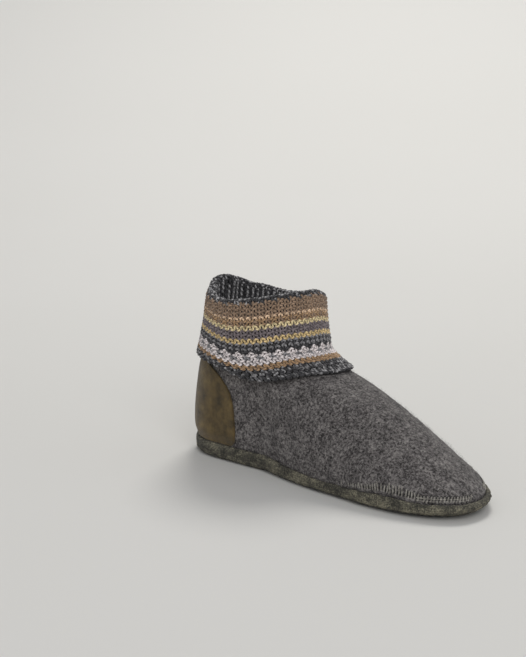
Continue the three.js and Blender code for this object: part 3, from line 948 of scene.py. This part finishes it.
@dataclass
class FeltUpper:
    """Felt upper: one hollow wall that swells out over the rim, with soft creases at the instep."""

    around: int = 288
    body_rows: int = 74
    inner_rows: int = 34
    lump_mm: float = 9.0
    lump_depth: float = 0.28
    seat: float = 0.85
    troughs: tuple[Trough, ...] = (
        Trough(128, 62, 0, -28, 26, 5.0, 0.9),
        Trough(148, 60, 0, -33, 24, 6.0, -0.6),
        Trough(92, 46, -1, 62, 26, 9.0, 1.2),
        Trough(70, 40, -1, 80, 24, 8.0, -0.7),
        Trough(95, 48, 1, 62, 26, 9.0, 1.1),
        Trough(172, 42, -1, -20, 30, 9.0, 0.6),
        Trough(196, 36, 1, -24, 26, 8.0, 0.6),
        Trough(222, 24, 0, -40, 12, 6.0, 0.5),
    )

    def relief(self, points: np.ndarray, height: np.ndarray, seat_height: np.ndarray) -> np.ndarray:
        """How far the felt's face stands off the plain form.

        Args:
            points: places on the felt.
            height: each place's height.
            seat_height: height at which the felt leans on the rubber rim.

        Returns:
            Creases and lumps, which fade out at the rim, and the felt's lean over it.
        """
        total = self.lump_depth * ripple(points, self.lump_mm, 11) + 0.1 * ripple(points, 3.5, 12)
        total = total + sum(trough.relief(points) for trough in self.troughs)
        return total * smoothstep(height, 13, 24) + self.seat * np.exp(-(((height - seat_height) / 1.3) ** 2))

    def build(self) -> None:
        """Makes and dresses the upper."""
        turn = closed_turns(self.around)
        along, _ = LAST.station(turn)
        floor = LAST.sole_thickness + LAST.clearance
        rim = LAST.rim(along) + 2 * LAST.clearance
        seat_height = rim + LAST.ball_rise(along) + 0.9
        body = rim + LAST.swell_height
        heights = [floor + 0 * turn, mix(floor, rim, 0.5), rim]
        heights += [mix(rim, body, share) for share in np.linspace(0, 1, 9)[1:]]
        heights += [mix(body, LAST.felt_top, share) for share in np.linspace(0, 1, self.body_rows)[1:]]
        rows = []
        for height in heights:
            points = LAST.felt(height, turn)
            relief = self.relief(points, height, seat_height)
            rows.append(points + LAST.normal(height, turn) * relief[:, None])
        for share in np.linspace(0, 1, self.inner_rows):
            height = mix(LAST.felt_top, floor, share) + 0 * turn
            row = LAST.offset(height, turn, -LAST.felt_thickness)
            if share == 0:
                row[:, 2] = rows[len(heights) - 1][:, 2]
            rows.append(row)
        rows.append(rows[0])
        piece = loft("felt_upper", np.array(rows), around=True, through=True)
        place(piece, WoolFelt().build(), "upper", "upper")


@dataclass
class FeltInsole:
    """Felt insole board on the sole's floor, a little crowned."""

    around: int = 192
    thickness: float = 4.0
    crown: float = 0.5

    def build(self) -> None:
        """Makes and dresses the insole."""
        turn = closed_turns(self.around)
        floor = LAST.sole_thickness + LAST.clearance
        inset = -(LAST.felt_thickness + LAST.clearance)
        levels = [(floor, inset), (floor + 2, inset), (floor + self.thickness - 0.6, inset - 0.1),
                  (floor + self.thickness, inset - 0.8)]
        rings = [LAST.offset(height + 0 * turn, turn, distance) for height, distance in levels]
        rows = [LAST.spine(rings[0]), *rings]
        for share in (0.15, 0.35, 0.6, 0.8, 1.0):
            row = mix(rings[-1], LAST.spine(rings[-1]), share)
            row[:, 2] += self.crown * smoothstep(share, 0, 0.5)
            rows.append(row)
        piece = loft("felt_insole", np.array(rows), around=True)
        finish = WoolFelt(name="insole_felt", tones=("#2c2a2a", "#4a4645", "#635f5d", "#7e7977"))
        place(piece, finish.build(), "insole", "insole")


@dataclass
class HeelPatch:
    """Suede patch laid round the heel."""

    reach: float = 61.5
    height: float = 67.7
    foot: float = 13.3
    thickness: float = 1.5
    edge_radius: float = 0.5
    columns: int = 120
    rows: int = 60

    def build(self) -> None:
        """Makes and dresses the patch."""
        across = np.linspace(-1, 1, self.columns)
        rows = []
        for rise in np.linspace(0, 1, self.rows):
            height = self.foot + self.height * rise + 0 * across
            level_back = LEVELS.read("back", height / LAST.fold_height) * LAST.length
            level_front = LEVELS.read("front", height / LAST.fold_height) * LAST.length
            x = self.reach * PATCH.read("reach", rise)
            share = np.clip(1 - 2 * (x - level_back) / (level_front - level_back), -1, 1)
            along = np.arccos(share) / np.pi
            rows.append(LAST.offset(height, across * along / 2, LAST.clearance + 0 * across))
        piece = loft("suede_patch", np.array(rows), around=False)
        if piece.data.polygons[len(across) // 2].normal.x > 0:
            piece.data.flip_normals()
        wall = piece.modifiers.new("wall", "SOLIDIFY")
        wall.thickness = self.thickness * MM
        wall.offset = 1.0
        rounding = piece.modifiers.new("edge", "BEVEL")
        rounding.width = self.edge_radius * MM
        rounding.segments = 2
        rounding.limit_method = "ANGLE"
        place(piece, Suede().build(), "heel_patch", "heel_patch")


class Yarn(Enum):
    """Dyed yarns of the knitted cuff, as sRGB hex codes."""

    CHARCOAL = "#3f3e41"
    FLECK = "#b8b6b8"
    TAUPE = "#a08670"
    BROWN = "#b39270"
    PEACH = "#f0cfae"
    CREAM = "#f0dcae"
    MAUVE = "#857a7d"
    GOLD = "#e6ca94"
    WHITE = "#f2e9e9"
    GREY = "#929093"


# Letters of the knitting chart, each with the yarn at the foot and at the head of its loop. The
# letter x is charcoal spun with pale flecks.
STITCHES = {
    "k": (Yarn.CHARCOAL, Yarn.GREY), "t": (Yarn.TAUPE, Yarn.TAUPE), "b": (Yarn.BROWN, Yarn.BROWN),
    "p": (Yarn.BROWN, Yarn.PEACH), "c": (Yarn.CREAM, Yarn.CREAM), "m": (Yarn.MAUVE, Yarn.MAUVE),
    "g": (Yarn.GOLD, Yarn.GOLD), "w": (Yarn.WHITE, Yarn.WHITE), "v": (Yarn.WHITE, Yarn.CHARCOAL),
    "s": (Yarn.GREY, Yarn.GREY), "y": (Yarn.TAUPE, Yarn.CHARCOAL), "x": (Yarn.CHARCOAL, Yarn.CHARCOAL),
}

# Knitting chart of the outer face, from the hem up: one row of letters per course, repeated round
# the cuff
COLOUR_CHART = ("x", "x", "b", "w", "ws", "wv", "k", "k", "g", "m", "m", "c", "bt", "p", "t", "t", "t")
ROLL_CHART = ("xy", "x", "x")
INSIDE_CHART = ("x",) * 8


@dataclass
class KnittedCuff:
    """Knitted cuff folded down over the felt: a backing cloth with real loops of yarn over it."""

    stitches: int = 58
    points_per_stitch: int = 8
    yarn_sides: int = 6
    yarn_radius: float = 0.97
    twist_length: float = 3.4
    loop_height: float = 0.86
    loop_sway: float = 0.1
    loop_depth: float = 0.3
    loop_crown: float = 0.08
    wobble: float = 0.16
    wobble_along: float = 0.05
    wobble_up: float = 0.15
    wobble_out: float = 0.5
    shade_range: tuple[float, float] = (0.82, 1.15)
    seed: int = 7
    dye_seed: int = 91
    fleck_share: float = 0.55
    wale_share: float = 0.75
    wale_width: float = 0.13
    fleck_edge: float = 0.35
    hem_gap: float = 0.4
    hem_drop: float = 3.6
    hem_drop_turn: float = 0.755
    hem_drop_width: float = 0.05
    foot_gap: float = 1.5
    knit_thickness: float = 3.8
    room: float = 2.1
    hem_flare: float = 1.4
    cloth_depth: float = 1.7
    ground_depth: float = 2.3
    ground_thickness: float = 0.9
    sags: tuple[tuple[float, float, float, float], ...] = (
        (0.01, 0.02, 2.4, 1.0),
        (0.05, 0.015, -2.4, 1.0),
        (0.09, 0.025, 2.6, 1.0),
        (0.15, 0.05, -1.2, 1.0),
        (0.93, 0.03, 1.0, 0.6),
        (0.975, 0.055, -3.8, 1.0),
        (0.33, 0.05, 1.2, 0.8),
    )

    def __post_init__(self) -> None:
        """Counts the courses of each part of the fabric."""
        self.outer = len(COLOUR_CHART)
        self.roll = len(ROLL_CHART)
        self.inner = len(INSIDE_CHART)

    def fabric(self, course: np.ndarray, turn: np.ndarray, depth: float) -> np.ndarray:
        """Points on the folded fabric.

        Args:
            course: course of knitting, 0 at the hem, going up the outer face, over the roll and
                down the inside.
            turn: turn round the leg.
            depth: how far below the fabric's face the points lie.

        Returns:
            Points, in millimetres.
        """
        course, turn = np.broadcast_arrays(course, turn)
        wrapped = turn - np.floor(turn)
        top, fold, hem = (CUFF.read(name, wrapped) * LAST.fold_height for name in ("top", "fold", "hem"))
        room = CUFF.read("room", wrapped) * self.room
        spread = CUFF.read("flare", wrapped) * self.hem_flare
        inside, outside = -LAST.felt_thickness + depth, room + self.knit_thickness - depth
        radius = (outside - inside) / 2
        crest = top - (room + self.knit_thickness + LAST.felt_thickness) / 2
        start = np.minimum(fold, crest)
        foot = LAST.felt_top + LAST.clearance + self.foot_gap
        drop = self.hem_drop * np.exp(-(((wrapped - self.hem_drop_turn) / self.hem_drop_width) ** 2))
        down = np.clip(1 - course / self.outer, 0, 1)
        lap = np.clip((course - self.outer) / self.roll, 0, 1)
        angle = np.pi * lap
        inward = np.clip((course - self.outer - self.roll) / self.inner, 0, 1)
        height = np.where(
            course < self.outer,
            mix(hem + self.hem_gap - drop, start, 1 - down),
            mix(mix(start, crest, smoothstep(lap, 0, 0.5)), foot, inward) + radius * np.sin(angle),
        )
        distance = np.where(
            course < self.outer,
            outside + spread * down**2,
            inside + radius * (1 + np.cos(angle)),
        )
        for middle, width, size, reach in self.sags:
            away = np.abs(wrapped - middle)
            away = np.minimum(away, 1 - away)
            high = smoothstep(height, top - 30 * reach, top - 6)
            distance = distance - size * np.exp(-((away / width) ** 2)) * high
        return LAST.offset(height, turn, distance)

    def loops(self, course: int, knit_side: bool, rng: np.random.Generator) -> np.ndarray:
        """Path of one course of yarn loops.

        Args:
            course: the course's number.
            knit_side: whether the legs of the loops lie in front, as on the inside.
            rng: random source for the hand of the knitting.

        Returns:
            Closed path of points, in millimetres.
        """
        count = self.stitches * self.points_per_stitch
        t = np.arange(count) / self.points_per_stitch
        stitch = np.floor(t).astype(int)
        jitter = rng.normal(0, self.wobble, (3, self.stitches + 1))
        jitter[:, -1] = jitter[:, 0]
        sway = mix(jitter[:, stitch], jitter[:, stitch + 1], t - stitch)
        u = t + self.loop_sway * np.sin(4 * np.pi * t) + self.wobble_along * sway[0]
        arch = np.cos(2 * np.pi * t) - self.loop_crown * np.cos(4 * np.pi * t)
        v = course + 0.5 - self.loop_height / 2 * arch * (1 + self.wobble_up * sway[1])
        front = self.loop_depth * np.cos(4 * np.pi * t) * (-1 if knit_side else 1)
        front = front + self.wobble_out * sway[2]
        turn = u / self.stitches
        v = np.maximum(v, 0.05)
        middle = self.fabric(v, turn, self.cloth_depth)
        du = self.fabric(v, turn + 0.001, self.cloth_depth) - middle
        dv = self.fabric(v + 0.15, turn, self.cloth_depth) - middle
        face = unit(np.cross(dv, du))
        return middle + face * front[:, None]

    def dye(self, piece: bpy.types.Object, courses: list[int], charts: list[str],
            paths: list[np.ndarray]) -> None:
        """Stores each stitch's colour and the yarn's twist on the piece.

        Args:
            piece: the yarn mesh, with a ring of points round each path point.
            courses: the courses in it.
            charts: each course's row of the knitting chart.
            paths: each course's path.
        """
        sides = self.yarn_sides
        rng = np.random.default_rng(self.dye_seed)
        colours, twists = [], []
        for course, chart, path in zip(courses, charts, paths):
            per = self.points_per_stitch
            shade = rng.uniform(*self.shade_range, self.stitches)
            letters = [chart[i % len(chart)] for i in range(self.stitches)]
            quarters = [linear(STITCHES[letter][end].value)[:3] for letter in letters for end in (0, 1, 1, 0)]
            point_colour = np.repeat(np.array(quarters) * np.repeat(shade, 4)[:, None], per // 4, axis=0)
            step = np.linalg.norm(np.diff(path, axis=0, append=path[:1]), axis=1)
            run = np.concatenate([[0], np.cumsum(step)[:-1]]) * 2 * np.pi / self.twist_length
            angle = 2 * np.pi * np.arange(sides) / sides
            ring = np.stack([np.cos(angle), np.sin(angle)], axis=-1)
            twist = np.concatenate([np.repeat(run, sides)[:, None], np.tile(ring, (len(path), 1))], axis=1)
            twists.append(twist)
            pale_ply = np.sin(run[:, None] + angle[None, :]) > self.fleck_edge
            flecked = np.repeat(np.array([letter == "x" for letter in letters]), per)[:, None] & pale_ply
            flecked &= np.repeat(rng.random(len(path) // 2) < self.fleck_share, 2)[:, None]
            if course >= self.outer + self.roll:
                phase = np.tile(np.arange(per), self.stitches)[:, None] / per
                in_wale = np.abs(phase - 0.25) < self.wale_width
                flecked = in_wale & (rng.random((len(path), 1)) < self.wale_share)
                flecked = flecked & np.ones((1, sides), bool)
            fleck = np.array(linear(Yarn.FLECK.value)[:3])
            ring_colour = np.where(flecked[:, :, None], fleck, point_colour[:, None, :])
            colours.append(ring_colour.reshape(-1, 3))
        colour = np.concatenate(colours)
        flat = np.c_[colour, np.ones(len(colour))]
        layer = piece.data.attributes.new("Yarn", "FLOAT_COLOR", "POINT")
        layer.data.foreach_set("color", flat.ravel())
        ply = piece.data.attributes.new("Ply", "FLOAT_VECTOR", "POINT")
        ply.data.foreach_set("vector", np.concatenate(twists).ravel())

    def backing(self) -> None:
        """Makes the cloth behind the loops, as one closed ring. Its near-black colour is painted shade in the
        gaps between the loops.
        """
        turn = closed_turns(240)
        first, last = 0.1, self.outer + self.roll + self.inner - 0.2
        behind = self.ground_depth + self.ground_thickness
        flat = np.zeros_like(turn)
        front = self.ground_depth
        rows = [self.fabric(flat + course, turn, front) for course in np.linspace(first, last, 90)]
        rows += [self.fabric(flat + course, turn, behind) for course in np.linspace(last, first, 40)]
        rows.append(rows[0])
        piece = loft("cuff_cloth", np.array(rows), around=True, through=True)
        # Near-black tones: painted shade showing through the gaps between the loops.
        finish = WoolFelt(name="knit_gap_shade", tones=("#0f0e0f", "#191819", "#242224", "#333133"))
        place(piece, finish.build(), "cuff", "cuff")

    def build(self) -> None:
        """Makes and dresses the cuff."""
        self.backing()
        yarn = WoolYarn().build()
        rng = np.random.default_rng(self.seed)
        rows = COLOUR_CHART + ROLL_CHART + INSIDE_CHART
        switch = self.outer + self.roll
        paths = [self.loops(course, course >= switch, rng) for course in range(len(rows) - 1)]
        groups = {
            "yarn_hem": range(0, 9),
            "yarn_fold": range(9, self.outer),
            "yarn_roll": range(self.outer, switch),
            "yarn_inside": range(switch, len(paths)),
        }
        for name, courses in groups.items():
            picked = [paths[c] for c in courses]
            piece = threads(name, picked, self.yarn_radius, self.yarn_sides, cyclic=True)
            self.dye(piece, list(courses), [rows[c] for c in courses], picked)
            place(piece, yarn, "cuff")


@dataclass
class JoinStitching:
    """Close upright stitches that join the felt to the rubber round the forefoot.

    Beside the ball they are tall. Towards the toe they are short and crossed by two threads, and
    they stop short of the toe's tip.
    """

    pitch: float = 2.2
    first_turn: float = 0.292
    toe_gap: tuple[float, float] = (0.452, 0.512)
    radius: float = 0.5
    end_radius: float = 0.3
    fade_in: tuple[float, float] = (0.55, 0.66)
    crossed_from: float = 0.79
    height_spread: float = 0.6
    seed: int = 5
    heights: Chart = Chart(("along", "tall"), (
        (0.56, 2.6), (0.64, 4.4), (0.7, 7.0), (0.75, 7.6), (0.8, 5.2), (0.88, 4.2), (1.0, 4.0)))

    def build(self) -> None:
        """Makes and dresses the stitches."""
        rng = np.random.default_rng(self.seed)
        turns = self.spaced_turns()
        along, side = LAST.station(turns)
        kept = rng.random(len(turns)) < smoothstep(along, *self.fade_in) + 0.02
        kept &= (turns < self.toe_gap[0]) | (turns > self.toe_gap[1])
        turns, along, side = turns[kept], along[kept], side[kept]
        foot = LAST.rim(along) + LAST.ball_rise(along) + LAST.clearance
        top = foot + self.heights.read("tall", along)
        shrink = LAST.felt(foot, turns)[:, 0] - LAST.felt(top, turns)[:, 0]
        slides = side * shrink / (np.pi * LAST.length * np.maximum(np.sin(np.pi * along), 0.35))
        uprights, ends, crossings = [], [], []
        bow = np.array([-0.25, 0.3, 0.42, 0.3, -0.3])
        share = np.array([0.0, 0.12, 0.5, 0.88, 1.0])
        step = np.array([-0.5, 0.0, 0.5]) * self.pitch / 600
        for turn, place_along, low, high, slide in zip(turns, along, foot, top, slides):
            lean = slide + rng.normal(0, 0.0005)
            crossed = place_along > self.crossed_from
            ragged = 0 if crossed else 1
            reach = mix(low, high + rng.normal(0, self.height_spread) * ragged, share)
            uprights.append(LAST.offset(reach, turn + lean * share, bow + rng.normal(0, 0.05)))
            # Painted shadow: a thin dark thread beside each stitch stands for the shade in the gap next to
            # it.
            shade = np.array([low, mix(low, high, 0.5), high])
            beside = turn + self.pitch / 1200 + slide * np.array([0.0, 0.5, 1.0])
            ends.append(LAST.offset(shade, beside, np.array([0.1, 0.2, -0.2])))
            if crossed:
                # Painted shadow: dark dots at the crossed stitches' ends stand for the shade in their holes.
                for end, shift in ((low, 0.0), (high + 0.2, slide)):
                    dots = turn + shift + 0.6 * step
                    ends.append(LAST.offset(end + 0 * step, dots, np.array([0.1, 0.42, 0.1])))
                for line in (0.33, 0.67):
                    crossings.append(LAST.offset(mix(low, high, line) + 0 * step, turn + slide * line + step,
                                                 np.array([0.3, 0.8, 0.3])))
        wool = WoolFelt(name="join_thread", tones=("#6e6a65", "#918d86", "#ada9a1", "#c6c2ba"))
        piece = threads("join_stitches", uprights + crossings, self.radius, 4, cyclic=False)
        place(piece, wool.build(), "upper")
        # The list ends holds the dark threads and dots of painted shadow beside and at the ends of the
        # stitches.
        dark = WoolFelt(name="join_shadow_thread", tones=("#0d0d0c", "#181714", "#24221e", "#34312c"))
        place(threads("join_stitch_shadows", ends, self.end_radius, 4, cyclic=False), dark.build(), "upper")

    def spaced_turns(self) -> np.ndarray:
        """Spaces the stitches evenly along the felt's foot.

        Returns:
            Their turns round the foot.
        """
        fine = np.linspace(self.first_turn, 1 - self.first_turn, 4000)
        points = LAST.felt(np.full_like(fine, 16.0), fine)
        run = np.concatenate([[0], np.cumsum(np.linalg.norm(np.diff(points, axis=0), axis=1))])
        return np.interp(np.arange(0, run[-1], self.pitch), run, fine)


@dataclass
class Fuzz:
    """Loose fibres that stand off the felt."""

    felt_hairs: int = 9000
    radius: float = 0.035
    length: tuple[float, float] = (0.7, 2.0)
    patch_turn: float = 0.2
    over_patch: tuple[float, float] = (83, 88)
    over_sole: tuple[float, float] = (15, 74)
    seed: int = 23

    def build(self) -> None:
        """Makes and dresses the fibres of the felt."""
        rng = np.random.default_rng(self.seed)
        turn = rng.uniform(0, 1, self.felt_hairs)
        behind_patch = np.minimum(turn, 1 - turn) < self.patch_turn
        above, below = (rng.uniform(*reach, self.felt_hairs) for reach in (self.over_patch, self.over_sole))
        height = np.where(behind_patch, above, below)
        base = LAST.felt(height, turn)
        out = LAST.normal(height, turn)
        drift = unit(rng.normal(size=(self.felt_hairs, 3)))
        size = rng.uniform(*self.length, self.felt_hairs)[:, None]
        share = [0.0, 0.5, 1.0]
        points = [base + out * size * 0.55 * s + drift * size * s**1.6 * 0.8 for s in share]
        paths = list(np.stack(points, axis=1))
        wool = WoolFelt(name="loose_fibres", tones=("#4b4847", "#6d6967", "#8d8885", "#aaa5a1"))
        place(threads("felt_fuzz", paths, self.radius, 4, cyclic=False), wool.build(), "upper")


@dataclass
class SideTab:
    """Plain woven tape sewn on the outer side: the modelled piece with a woven face."""

    node: str = "side_tab"

    def build(self) -> None:
        """Dresses the tab."""
        tape = WovenTape().build()
        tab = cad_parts[self.node]
        if not tab.material_slots:
            tab.data.materials.append(tape)
        for slot in tab.material_slots:
            slot.link = "OBJECT"
            slot.material = tape
        log.info("%s: dressed", self.node)


@dataclass
class Studio:
    """Pale floor that runs up into a backdrop, soft lights and the camera."""

    floor_run: float = 12.0
    sweep_start: float = 0.5
    sweep_radius: float = 3.0
    wall_top: float = 6.0
    sensor: float = 36.0
    focal_px: float = 1513.0
    picture_height_px: float = 657.0
    azimuth: float = 43.555
    elevation: float = 12.511
    camera_mm: tuple[float, float, float] = (691.791, -807.078, 344.354)
    sky: str = "#f6f7f8"
    sky_strength: float = 0.4

    def directions(self) -> tuple[Vector, Vector, Vector]:
        """The camera's directions.

        Returns:
            Its right, up and back directions.
        """
        a, e = math.radians(self.azimuth), math.radians(self.elevation)
        back = Vector((math.sin(a) * math.cos(e), -math.cos(a) * math.cos(e), math.sin(e)))
        right = Vector((math.cos(a), math.sin(a), 0))
        return right, back.cross(right), back

    def camera(self) -> None:
        """Adds the camera at the photograph's angle."""
        right, up, back = self.directions()
        data = bpy.data.cameras.new("camera")
        data.sensor_width = self.sensor
        data.lens = self.focal_px / self.picture_height_px * self.sensor
        data.clip_end = 20
        camera = add_object("camera", data)
        matrix = camera.matrix_world.copy()
        for row in range(3):
            matrix[row][0], matrix[row][1], matrix[row][2] = right[row], up[row], back[row]
            matrix[row][3] = self.camera_mm[row] * MM
        camera.matrix_world = matrix
        bpy.context.scene.camera = camera

    def backdrop(self) -> None:
        """Adds the floor and the backdrop as one swept sheet."""
        profile = [(-self.floor_run, 0.0), (0.0, 0.0), (self.sweep_start, 0.0)]
        radius = self.sweep_radius
        profile += [(self.sweep_start + radius * math.sin(a), radius * (1 - math.cos(a)))
                    for a in np.radians(range(6, 91, 6))]
        profile += [(self.sweep_start + self.sweep_radius, self.wall_top)]
        _, _, back = self.directions()
        away = Vector((-back.x, -back.y, 0)).normalized()
        along = Vector((away.y, -away.x, 0))
        bm = bmesh.new()
        line = [bm.verts.new(away * run + along * -6 + Vector((0, 0, rise))) for run, rise in profile]
        edges = [bm.edges.new(pair) for pair in zip(line, line[1:])]
        swept = bmesh.ops.extrude_edge_only(bm, edges=edges)
        moved = [item for item in swept["geom"] if isinstance(item, bmesh.types.BMVert)]
        bmesh.ops.translate(bm, verts=moved, vec=along * 12)
        bmesh.ops.recalc_face_normals(bm, faces=bm.faces)
        mesh = bpy.data.meshes.new("floor")
        bm.to_mesh(mesh)
        bm.free()
        for polygon in mesh.polygons:
            polygon.use_smooth = True
        mesh.materials.append(PaintedBoard().build())
        add_object("floor", mesh)

    def light(self, name: str, direction: tuple[float, float, float], distance: float, size: float,
              power: float, colour: str) -> None:
        """Adds one soft light.

        Args:
            name: its name.
            direction: where it stands, as parts of the camera's right, the floor's up and the
                camera's level back directions.
            distance: how far it stands, in metres.
            size: width of its face, in metres.
            power: in watts.
            colour: hex code.
        """
        right, _, back = self.directions()
        flat = Vector((back.x, back.y, 0)).normalized()
        aim = right * direction[0] + Vector((0, 0, direction[1])) + flat * direction[2]
        spot = aim.normalized() * distance
        data = bpy.data.lights.new(name, "AREA")
        data.shape = "DISK"
        data.size = size
        data.energy = power
        data.color = linear(colour)[:3]
        lamp = add_object(name, data)
        lamp.location = spot
        lamp.rotation_euler = (-spot).to_track_quat("-Z", "Y").to_euler()

    def build(self) -> None:
        """Makes the set."""
        self.camera()
        self.backdrop()
        self.light("key", direction=(0.15, 1.0, -0.75), distance=2.6, size=1.0, power=26, colour="#fffdf8")
        self.light("front", direction=(0.2, 0.75, 1.0), distance=3.4, size=2.4, power=31, colour="#ffffff")
        world = bpy.data.worlds.new("studio")
        world.use_nodes = True
        background = world.node_tree.nodes["Background"]
        background.inputs["Color"].default_value = linear(self.sky)
        background.inputs["Strength"].default_value = self.sky_strength
        bpy.context.scene.world = world
        bpy.context.scene.view_settings.view_transform = "Standard"


def main() -> None:
    """Builds the slipper piece by piece, then the studio."""
    Studio().build()
    for part in (RubberSole(), FeltInsole(), FeltUpper(), HeelPatch(), SideTab(), KnittedCuff(),
                 JoinStitching(), Fuzz()):
        part.build()


if __name__ == "__main__":
    main()
